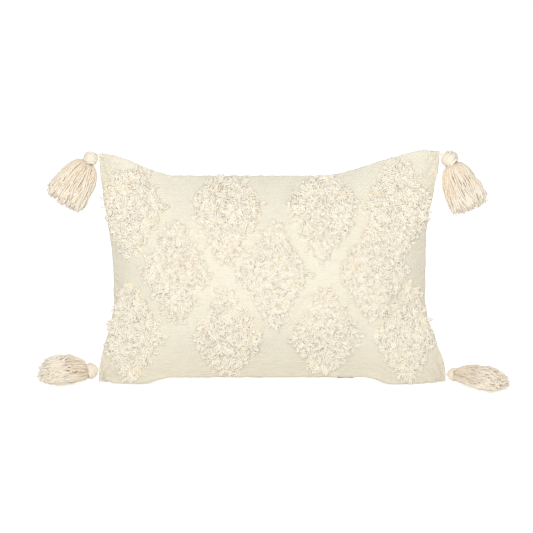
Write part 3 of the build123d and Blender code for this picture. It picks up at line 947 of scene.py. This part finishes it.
def zip_tape(side, node):
    """A woven tape with a slightly wavy face."""
    low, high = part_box(node)
    low, high = np.array(low) / MM, np.array(high) / MM
    x, y = np.linspace(low[0], high[0], 160), np.linspace(low[1], high[1], 12)
    yy, xx = np.meshgrid(y, x, indexing="ij")
    middle = (low[2] + high[2]) / 2
    ripple_z, half_thick = 0.05 * np.sin(xx * 0.9) * np.sin(yy * 1.7), 0.24
    top = np.stack([xx, yy, middle + half_thick + ripple_z], axis=-1)
    bottom = np.stack([xx, yy, middle - half_thick + ripple_z], axis=-1)
    points, faces = shell(top, bottom)
    new_piece(f"tape_{side}", points, faces, tape, stands_for=[node], place=False)


def drawn_in(grid, scale, middle_z):
    """The same surface, smaller about the cushion's middle."""
    middle = np.array([4.0, 0.0, middle_z])
    return middle + (grid - middle) * np.array(scale)


def insert(side, name, node):
    """The inner pad's cotton panel, under the cover."""
    grid = drawn_in(skin(120, 84), (0.972, 0.935, 0.945), 185.0)
    unevenness = 0.5 * lumps(grid[..., 0], grid[..., 2], 70 + side, 30.0) * edge_fade(grid, 30.0)
    outer = grid + normals_of(grid) * unevenness[..., None]
    points, faces = mirror(*shell(outer, outer - normals_of(outer) * PAD_CLOTH), side)
    obj = new_piece(name, points, faces, lining, stands_for=[node])


def fill(node):
    """The fibre filling, a soft lumpy body."""
    grid = drawn_in(skin(130, 90), (0.955, 0.9, 0.925), 189.0)
    unevenness = 0.9 * lumps(grid[..., 0], grid[..., 2], 77, 24.0) * edge_fade(grid, 30.0)
    front = grid + normals_of(grid) * unevenness[..., None]
    points, faces = mirror(*shell(front, front * np.array([1.0, -1.0, 1.0])), 1)
    obj = new_piece("fibre_filling", points, faces, fibre, stands_for=[node])


def loose_yarn():
    """One long yarn end that lies in a bend below the middle tufts."""
    x, z = np.array(LOOSE_YARN, float).T
    even = np.linspace(0, len(x) - 1, 40)
    x, z = np.interp(even, range(len(x)), x), np.interp(even, range(len(z)), z)
    line, normal = surface(x, z)
    line = soften(line + normal * (1.3 + 0.6 * np.sin(even * 1.7))[:, None], 2.0)
    radius, shade = 1.2, 0.9
    points, faces = tubes(line[None], np.full((1, len(line)), radius), 8, lobes=2, depth=0.2, twist=0.8)
    flat = np.full(len(points), shade)
    attributes = {"share": flat, "tint": flat}
    new_piece("loose_yarn", points, faces, tuft_yarn, attributes=attributes)


cover(-1, "cover_front", "cover_front_panel")
cover(1, "cover_back", "cover_back_panel")
loose_yarn()
seed = 100
for row, (cz, columns) in ROWS.items():
    for k, cx in enumerate(columns):
        seed += 1
        medallion(f"tufts_{row}{k + 1}", f"tuft_medallion_{row}{k + 1}", cx, cz, seed)
for k, corner in enumerate(TASSELS):
    tassel(corner, 200 + k)
for side in ("front", "back"):
    zip_coil(side, f"zip_coil_{side}")
    zip_tape(side, f"zip_tape_{side}")
insert(-1, "pad_cloth_front", "insert_front_panel")
insert(1, "pad_cloth_back", "insert_back_panel")
fill("fibre_fill")
for name in ("zip_slider", "zip_pull", "zip_end_stops"):
    nodes[name].data.materials.clear()
    nodes[name].data.materials.append(metal)


# ---- light and camera, in metres ----

def light(name, place, target, size, power, colour):
    """A rectangular lamp that looks at the target."""
    data = bpy.data.lights.new(name, "AREA")
    data.shape, data.size, data.size_y = "RECTANGLE", size[0], size[1]
    data.energy, data.color = power, colour
    obj = bpy.data.objects.new(name, data)
    bpy.context.scene.collection.objects.link(obj)
    obj.location = place
    obj.rotation_euler = (Vector(target) - Vector(place)).to_track_quat("-Z", "Y").to_euler()


def studio(strength, seen):
    """Even white surroundings that light with one strength and are seen with another."""
    world = bpy.data.worlds.new("studio")
    bpy.context.scene.world = world
    world.use_nodes = True
    tree = world.node_tree
    background = tree.nodes["Background"]
    background.inputs["Color"].default_value = (1.0, 1.0, 1.0, 1.0)
    path = tree.nodes.new("ShaderNodeLightPath")
    level = tree.nodes.new("ShaderNodeMapRange")
    level.inputs["To Min"].default_value = strength
    level.inputs["To Max"].default_value = seen
    tree.links.new(path.outputs["Is Camera Ray"], level.inputs["Value"])
    tree.links.new(level.outputs[0], background.inputs["Strength"])


def pale_floor(drop=0.0015, seen_glow=0.6, glow=0.08):
    """A wide floor just below the cushion, white to look at though it lights little."""
    bpy.ops.mesh.primitive_circle_add(vertices=96, radius=30.0, fill_type="NGON", location=(0, 0, -drop))
    floor = bpy.context.object
    floor.name = "floor"
    s = Shader("pale_floor", 0.9, Specular_IOR_Level=0.0)
    s.bsdf.inputs["Emission Color"].default_value = (1.0, 1.0, 1.0, 1.0)
    seen = s.add("ShaderNodeLightPath").outputs["Is Camera Ray"]
    s.put(s.bsdf.inputs["Emission Strength"], s.maths("ADD", s.maths("MULTIPLY", seen, seen_glow), glow))
    floor.data.materials.append(s.base((0.78, 0.775, 0.76, 1.0)))


WARM_WHITE = (1.0, 0.985, 0.96)
CUSHION_MIDDLE = (0, 0, 0.15)
studio(strength=0.45, seen=1.0)
pale_floor()
light("back_fill", (0.9, 2.7, 1.5), CUSHION_MIDDLE, size=(2.4, 1.8), power=30.0, colour=WARM_WHITE)
light("key", (-0.15, -3.0, 0.85), CUSHION_MIDDLE, size=(1.3, 1.0), power=56.0, colour=WARM_WHITE)

TARGET = Vector((-0.0070, 0.006, 0.165))
ELEVATION = math.radians(9.0)
DISTANCE = 2.4
VIEW_WIDTH = 0.7465  # what the picture is wide at the target
SENSOR_WIDTH = 36.0  # mm, as the lens
camera_data = bpy.data.cameras.new("camera")
camera_data.lens = SENSOR_WIDTH * DISTANCE / VIEW_WIDTH
camera_data.clip_end = 100.0
camera = bpy.data.objects.new("camera", camera_data)
bpy.context.scene.collection.objects.link(camera)
camera.location = TARGET + Vector((0, -math.cos(ELEVATION), math.sin(ELEVATION))) * DISTANCE
camera.rotation_euler = (TARGET - camera.location).to_track_quat("-Z", "Y").to_euler()
bpy.context.scene.camera = camera
